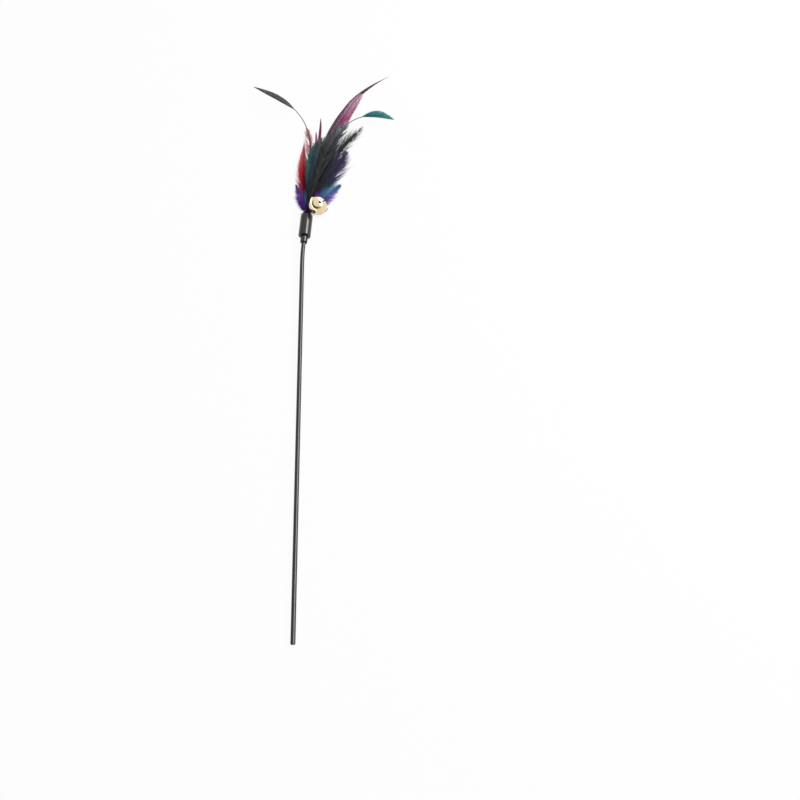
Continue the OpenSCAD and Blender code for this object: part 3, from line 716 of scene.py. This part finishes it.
# Feathers, in the order of their quills' places in the bundle, from the floor up
feathers = {
    "violet_left": {
        **fluff, "reach": 48, "width": 14, "fuzz": 7.5, "route": ((-0.04, 0.3), (-0.18, 0.52), -0.4, 0.01),
        "vane": (0.16, 0.6, 0.8, 0.5), "left": "violet purple purple lilac",
        "core": "violet violet purple lilac", "right": "blue blue cyan cyan", "glint": "purple"},
    "indigo_right": {
        **hackle, "slot": "indigo_hackle", "reach": 103, "width": 23, "free": 0.6, "gather": 0.07,
        "route": ((0.01, 0.29), (0.21, 0.56), 0.39, 0.01), "vane": (0.2, 0.55, 0.5, 0.47),
        "stops": (0, 0.22, 0.42, 0.6, 1), "downTo": 0.6, "shaft": "fig ink",
        "left": "fig navy indigo fig indigo", "core": "fig lagoon navy indigo fig",
        "right": "violet cyan lagoon indigo indigo", "glint": "iris", "sheet": (0.2, 0.994, 0.5),
        "contrast": 1.1, "shake": 0.1, "ragged": 0.2, "barbs": 600},
    "violet_right": {
        **fluff, "reach": 51, "width": 16, "fuzz": 8, "route": ((0.04, 0.34), (0.3, 0.46), 0.71, 0.01),
        "vane": (0.22, 0.6, 0.5, 0.5), "hair": 0.3, "stops": (0, 0.42, 0.72, 0.92), "barbuleLength": 2.1,
        "left": "iris violet cyan cyan", "right": "iris violet purple blue", "glint": "purple",
        "barbs": 760},
    "red_side": {
        **hackle, "slot": "red_hackle", "reach": 110, "width": 17, "downTo": 0.55, "barbs": 440,
        "free": 0.65, "hair": 0.26, "gather": 0.12, "sheet": (0.15, 0.994, 0.66),
        "route": ((-0.027, 0.318), (-0.127, 0.564), -0.136, 0.01), "vane": (0.1, 0.66, 1.05, 0.55),
        "stops": (0, 0.16, 0.25, 0.56, 1), "glint": "rose", "shaft": "wine crimson",
        "left": "violet purple rosy red blush", "core": "violet blue orchid red rose",
        "right": "blue cyan orchid claret rose"},
    "coque_plum": {
        **coque, "slot": "plum_coque", "reach": 204, "width": 2.6, "first": 0.3, "barbs": 460,
        "fringe": 1.75, "stem": 0.6, "route": ((0, 0.44), (0.059, 0.843), 0.422, 0.085),
        "vane": (0.66, 0.9, 1.3, 0.5), "sheet": (0.31, 0.996, 0.84), "stops": (0, 0.75, 0.9, 1),
        "left": "dusk plum plum bark", "core": "dusk dusk dusk umber", "shaft": "dusk dusk",
        "glint": "orchid"},
    "coque_teal": {
        **coque, "slot": "teal_coque", "reach": 146, "width": 9.4, "first": 0.73,
        "route": ((0.03, 0.788), (0.247, 1.192), 0.658, 0.035), "vane": (0.745, 0.9, 0.75, 0.6),
        "sheet": (0.76, 0.996, 0.84), "stops": (0, 0.75, 0.87, 1), "left": "slate teal sea leaf",
        "core": "slate teal teal sea", "right": "slate lagoon teal leaf", "shaft": "coal pine",
        "glint": "sea", "contrast": 0.8},
    "magenta": {
        **coque, "slot": "magenta_feather", "reach": 181, "width": 14.8, "first": 0.26,
        "sheet": (0.3, 0.996, 0.88), "barbs": 520, "splay": (28, 15),
        "route": ((0.011, 0.331), (0.099, 0.762), 0.287, 0.05), "vane": (0.3, 0.8, 0.5, 0.3),
        "stops": (0, 0.4, 0.6, 0.72, 0.84, 1), "stem": 0.4, "left": "fig fig berry berry orchid mauve",
        "core": "fig fig berry magenta mauve mauve", "right": "fig berry rosy rosy mauve mauve",
        "shaft": "berry orchid", "glint": "mauve", "contrast": 0.8},
    "red_long": {
        **hackle, "slot": "red_hackle", "reach": 130, "width": 12, "barbs": 260,
        "sheet": (0.32, 0.996, 0.16), "down": 0.25, "tufts": 10, "gather": 0.6, "splay": (32, 12),
        "first": 0.22, "web": 0.24, "free": 0.2, "edgeHold": 0.45, "ragged": 0.2,
        "route": ((-0.008, 0.385), (0, 0.754), -0.105, 0.01), "vane": (0.3, 1, 0.8, 0.7),
        "left": "wine blush blush blush", "core": "wine crimson crimson crimson",
        "right": "wine crimson crimson red", "glint": "blush", "shaft": "wine red", "fuzz": 1.5,
        "stem": 0.8},
    "coque_left": {
        **coque, "slot": "brown_coque", "reach": 176, "width": 7.6, "first": 0.7,
        "route": ((0.006, 0.625), (-0.023, 0.909), -0.477, 0.085), "vane": (0.71, 0.9, 0.8, 0.6),
        "stops": (0, 0.75, 0.9, 1), "left": "brown bark bark ash", "core": "brown umber umber ash",
        "right": "brown bark bark coal", "shaft": "crimson umber", "glint": "grey"},
    "spike_mauve": {
        **spike, "slot": "mauve_spike", "reach": 122, "route": ((0, 0.41), (0.033, 0.803), -0.008, 0.01),
        "left": "berry rosy rosy mauve", "core": "berry rosy rosy rosy", "shaft": "berry rosy",
        "glint": "mauve"},
    "spike_crimson": {
        **spike, "slot": "crimson_spike", "reach": 142,
        "route": ((0.011, 0.352), (0.049, 0.739), 0.023, 0.01), "left": "wine claret claret dusk",
        "core": "wine wine wine dusk", "shaft": "wine wine", "glint": "crimson"},
    "black_right": {
        **blackHackle, "reach": 131, "width": 15, "down": 0.35, "barbs": 360, "tufts": 10, "gather": 1.1,
        "splay": (38, 14), "downTo": 0.4, "web": 0.34, "free": 0.2, "sheet": (0.3, 0.97, 0.24),
        "ruffle": 0.05, "route": ((0.025, 0.344), (0.22, 0.763), 0.45, 0.02), "vane": (0.25, 0.8, 0.6, 0.5),
        "left": "coal coal ash haze", "core": "coal coal coal ash", "right": "coal indigo ash haze",
        "glint": "grey", "contrast": 1.1},
    # Black hackle: the teal and blue-teal tones at its left edge are its iridescence, painted in as a sheen
    # at fixed places
    "black_left": {
        **blackHackle, "slot": "teal_black_hackle", "reach": 106, "width": 16, "fuzz": 2.6,
        "route": ((-0.019, 0.33), (-0.038, 0.66), 0.028, 0.01), "vane": (0.26, 1, 0.6, 0.35),
        "stops": (0.14, 0.27, 0.42, 0.62, 1), "left": "cyan coal lagoon spruce slate",
        "core": "blue coal lagoon pine ash", "right": "fig coal coal soot ash", "glint": "teal",
        "edgeHold": 0.6},
    "black_centre": {
        **blackHackle, "reach": 112, "width": 18, "fuzz": 3,
        "route": ((0, 0.312), (0.07, 0.67), 0.08, 0.01), "vane": (0.2, 0.7, 0.5, 0.43),
        "left": "blue coal lagoon haze", "core": "fig coal coal ash", "right": "fig coal soot haze"},
    "black_front": {
        **hackle, "slot": "black_hackle", "reach": 98, "width": 22, "fuzz": 3.2,
        "route": ((0.006, 0.306), (0.163, 0.633), 0.286, 0.01), "vane": (0.24, 0.65, 0.5, 0.42),
        "free": 0.6, "left": "fig coal coal soot", "right": "fig coal navy indigo"},
    "slate": {
        **hackle, "slot": "slate_hackle", "reach": 135, "width": 15, "down": 0.4,
        "route": ((0.04, 0.37), (0.12, 0.726), 0.285, 0.01), "vane": (0.25, 0.8, 0.5, 0.5), "tufts": 20,
        "gather": 0.4, "splay": (36, 16), "stops": (0, 0.55, 0.78, 0.95), "left": "coal soot haze mist",
        "core": "coal coal slate haze", "right": "coal soot slate mist", "glint": "haze",
        "sheet": (0.3, 0.97, 0.5), "ragged": 0.22, "shake": 0.09},
}


def makeFeather(name, look):
    chance = np.random.default_rng(40 + look["order"])
    quill = Quill(look)
    strands = Strands()
    for side in (-1, 1):
        addBarbs(strands, quill, look, side, chance)
        if look["sheet"]:
            addWeb(strands, quill, look, side)
    addShaft(strands, quill, look)
    piece = strands.build(name + "_feather", [vaneFinish(name, look), shaftFinish(name, look)])
    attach(piece, "wand")
    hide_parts(name)
    print(name, "feather made,", len(piece.data.polygons), "faces")


for order, (name, look) in enumerate(feathers.items()):
    makeFeather(name, {**look, "order": order})

# Loose down of the feathers' bases, puffed out round the bundle and over the sleeve's mouth
mouthDown = {
    **fluff, "count": 340, "low": -0.4, "high": 11, "radius": 2.9, "length": (3.5, 7.5),
    "lean": (-0.35, 1.3), "spread": 0.25, "curl": 0.5, "hair": 0.17, "barbules": 14, "barbuleLength": 1.3,
    "stops": (0, 0.35, 0.7, 1), "left": "fig fig indigo violet", "glint": "violet",
    "core": "iris iris fig indigo", "right": "fig iris violet violet"}


def makeMouthDown(look):
    chance = np.random.default_rng(90)
    count, rings = look["count"], look["rings"]
    turn = chance.uniform(0, math.tau, count)
    away = np.column_stack((np.cos(turn), np.zeros(count), np.sin(turn)))
    height = chance.uniform(look["low"], look["high"], count)
    heading = unit(away + tipward * chance.uniform(*look["lean"], (count, 1))
                   + chance.normal(0, look["spread"], (count, 3)))
    curl = chance.normal(0, look["curl"], (count, 3))[:, None] / 2
    steps = np.linspace(0, 1, rings)[None, :, None]
    length = chance.uniform(*look["length"], (count, 1, 1))
    start = away * look["radius"] + tipward * height[:, None]
    line = kept(start[:, None] + heading[:, None] * steps * length + curl * steps ** 2 * length)
    strands = Strands()
    root = chance.uniform(0, 1, count)
    addRibbons(strands, line, away, root, 0, np.ones(count), look, 1, chance)
    piece = strands.build("mouth_down", [vaneFinish("mouth down", look)])
    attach(piece, "wand")


makeMouthDown(mouthDown)
print("down at the mouth made")

# Black cord through the bell's lug, its knot and loose end, and the thread that binds the quills
cordLook = {
    "width": 0.8, "lobes": 3, "lay": 1.7, "facets": 6, "groove": 0.2, "loopRadius": 4.533,
    "loopAlong": 7.21, "loopTurn": 358, "loopSteps": 220, "knotTurn": -36, "knotLength": 2,
    "knotWidth": 0.64, "knotCoil": 0.6, "knotSwell": 0.25, "knotTurns": 3, "knotSteps": 90, "tailSteps": 120,
    "tail": ((3.7, 7.2, -2.7), (5.5, 6.9, -3.9), (8, 6.5, -4.7), (11, 6.1, -5.1), (14, 6.3, -5.2),
             (17, 7.7, -5.2), (19.6, 10, -5.2), (21.6, 12.8, -5.2), (23, 15.6, -5.2))}
frayLook = {"fibres": 16, "forward": 2.2, "spread": 0.5, "back": 0.3, "length": (0.9, 1.9),
            "width": 0.13, "taper": 1.1, "rings": 4}
threadLook = {"width": 0.6, "lobes": 2, "lay": 1.2, "facets": 6, "groove": 0.2, "radius": 3.203,
              "low": 1.1, "pitch": 1.05, "turns": 4, "turnSteps": 96}


# Laid cord along a line of points: a tube with the lobes of its strands wound round it
def laidStrands(line, look):
    lobes, groove = look["lobes"], look["groove"]
    ahead = unit(np.gradient(line, axis=0))
    length = np.concatenate(([0], np.cumsum(np.linalg.norm(np.diff(line, axis=0), axis=1))))
    side = unit(np.cross(ahead[0], (0.3, 0.2, 1)))  # any way that no cord runs
    frames = []
    for way in ahead:
        side = unit(side - way * np.dot(side, way))
        frames.append((side, np.cross(side, way)))
    side, up = [np.array(vectors)[:, None] for vectors in zip(*frames)]
    turn = np.linspace(0, math.tau, look["facets"] * lobes, endpoint=False)[None]
    twist = math.tau * length[:, None] / look["lay"]
    lobe = 1 - groove + groove * np.abs(np.cos(lobes / 2 * (turn - twist)))
    radius = (lobe * look["width"] / 2)[..., None]
    rings = line[:, None] + (np.cos(turn)[..., None] * side + np.sin(turn)[..., None] * up) * radius
    strands = Strands()
    strands.addRings(rings[None])
    return strands


# Smooth line through a few points
def smoothLine(points, steps):
    points = np.array(points, float)
    framed = np.concatenate((2 * points[:1] - points[1:2], points, 2 * points[-1:] - points[-2:-1]))
    share = np.linspace(0, len(points) - 1.0001, steps)
    low = share.astype(int)
    part = (share - low)[:, None]
    before, at, after, last = [framed[low + shift] for shift in range(4)]
    return 0.5 * (2 * at + (after - before) * part + (2 * before - 5 * at + 4 * after - last) * part ** 2
                  + (3 * at - before - 3 * after + last) * part ** 3)


def ringLine(radius, start, stop, steps, low, rise):
    turn = np.radians(np.linspace(start, stop, steps))
    height = low + rise * np.linspace(0, 1, steps)
    return np.column_stack((radius * np.cos(turn), height, radius * np.sin(turn)))


# Knot: turns of the cord drawn tight round the two ends of the loop
def knotLine(look):
    way = np.linspace(-1, 1, look["knotSteps"])
    half = math.degrees(look["knotLength"] / 2 / look["loopRadius"])
    heart = np.radians(look["knotTurn"] + way * half)
    coil = way * math.pi * look["knotTurns"]
    swell = (look["knotCoil"] * (1 - look["knotSwell"] * way ** 4))[:, None]
    outward = np.column_stack((np.cos(heart), 0 * heart, np.sin(heart)))
    return (outward * look["loopRadius"] + tipward * look["loopAlong"]
            + swell * (np.cos(coil)[:, None] * outward + np.sin(coil)[:, None] * tipward))


# Fibres that spread from the cut end of a cord
def addFray(strands, line, look):
    chance = np.random.default_rng(7)
    endWay = unit(line[-1] - line[-3])
    splay = unit(endWay * look["forward"] + chance.normal(0, look["spread"], (look["fibres"], 3)))
    steps = np.linspace(0, 1, look["rings"])[None, :, None]
    length = chance.uniform(*look["length"], (look["fibres"], 1, 1))
    middle = line[-1] - endWay * look["back"] + splay[:, None] * steps * length
    width = look["width"] * (look["taper"] - steps) / 2
    left = unit(np.cross(splay, (0, 0, 1)))[:, None] * width
    over = np.cross(left, splay[:, None])
    strands.addRings(np.stack((middle + left, middle - left, middle - over), axis=2))


# Fibres of spun cord: two blacks, with dull light along the strands
fibreLook = {"dark": (0.045, 0.045, 0.05), "pale": (0.13, 0.13, 0.14), "scale": 5200, "roughness": 0.6,
             "haze": 0.25, "sheen": 0.1, "bump": (0.5, 0.05)}
blackCord = grainFinish("black cord", fibreLook)


def cordPiece(name, strands, body, nodes):
    piece = strands.build(name, [blackCord])
    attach(piece, body)
    if nodes:
        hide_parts(*nodes)


start = cordLook["knotTurn"]
loopLine = ringLine(cordLook["loopRadius"], start, start + cordLook["loopTurn"], cordLook["loopSteps"],
                    cordLook["loopAlong"], 0)
cordPiece("laid_loop", laidStrands(loopLine, cordLook), "tie", ["tie_cord"])
knot = laidStrands(knotLine(cordLook), {**cordLook, "width": cordLook["knotWidth"]})
cordPiece("tie_knot", knot, "tie", [])
tailLine = smoothLine(cordLook["tail"], cordLook["tailSteps"])
tail = laidStrands(tailLine, cordLook)
addFray(tail, tailLine, frayLook)
cordPiece("laid_tail", tail, "tie", ["cord_tail"])
turns = threadLook["turns"]
threadLine = ringLine(threadLook["radius"], 0, -360 * turns, threadLook["turnSteps"] * turns,
                      threadLook["low"], threadLook["pitch"] * turns)
cordPiece("bound_thread", laidStrands(threadLine, threadLook), "wand", ["binding"])
print("cord, knot and thread made")

# Pale floor under it all
bpy.ops.mesh.primitive_plane_add(
    size=floorLook["size"], location=(0, 0, floorLook["buttDrop"] * mm),
    rotation=(math.atan(floorLook["slope"]), 0, 0))
floor = bpy.context.object
floor.name = "floor"
floorFinish = Finish("floor")
seen = floorFinish.rays()[0]
floorFinish.set(Base_Color=(*floorLook["colour"], 1), Roughness=floorLook["roughness"])
glow = floorFinish.wire("Emission", {}, {"Color": (1, 1, 1, 1), "Strength": 1})
plain = Wire(floorFinish.tree, floorFinish.shader.outputs[0])
both = floorFinish.wire("MixShader", {}, {0: seen * floorLook["glow"], 1: plain, 2: glow})
feed(both.tree, both.tree.nodes["Material Output"].inputs["Surface"], both)
wearFinish(floorFinish, floor)

# Plain soft studio light: a pale room, and a long soft box to the right for the highlights
light = {
    "lit": 0.28, "seen": 1, "band": 0.96, "bandFoot": 0.1, "bandTop": 0.76, "bandFade": 4.5,
    "bandEdge": 0.3, "bandLean": (0.7, 0.75), "strip": 4.5, "stripHalf": 0.26, "stripFade": 10,
    "stripLean": (0.74, 0.67), "stripLeft": 0.1, "stripBack": 0.3}
world = bpy.data.worlds.new("room")
bpy.context.scene.world = world
world.use_nodes = True
room = Nodes(world.node_tree)
seen, glossy = room.rays()
x, y, z = room.parts(room.wire("TexCoord", {}, {}, "Generated"))
leanX, leanY = light["bandLean"]
fade = light["bandFade"]
dark = (((light["bandTop"] - z) * fade).clamped() * ((z - light["bandFoot"]) * fade).clamped()
        * (light["bandEdge"] - x * leanX - y * leanY).clamped() * light["band"])
leanX, leanZ = light["stripLean"]
fade = light["stripFade"]
strip = (((light["stripHalf"] - abs(x * leanX - z * leanZ)) * fade).clamped()
         * ((x - light["stripLeft"]) * fade).clamped()
         * ((y + light["stripBack"]) * fade).clamped() * light["strip"])
brightness = light["lit"] + seen * (light["seen"] - light["lit"]) + glossy * (strip - dark)
background = room.tree.nodes["Background"].inputs
feed(room.tree, background["Color"], (1, 1, 1, 1))
feed(room.tree, background["Strength"], brightness)
softBox = {"place": (1, 0.9, 0.95), "width": 0.9, "length": 2.2, "power": 24}
bpy.ops.object.light_add(type="AREA", location=softBox["place"])
lamp = bpy.context.object
lamp.data.shape = "RECTANGLE"
lamp.data.size = softBox["width"]
lamp.data.size_y = softBox["length"]
lamp.data.energy = softBox["power"]
lamp.rotation_euler = (0, math.atan2(softBox["place"][0], softBox["place"][2]), 0)

bpy.context.scene.view_settings.view_transform = "Standard"
print("stage and light set")
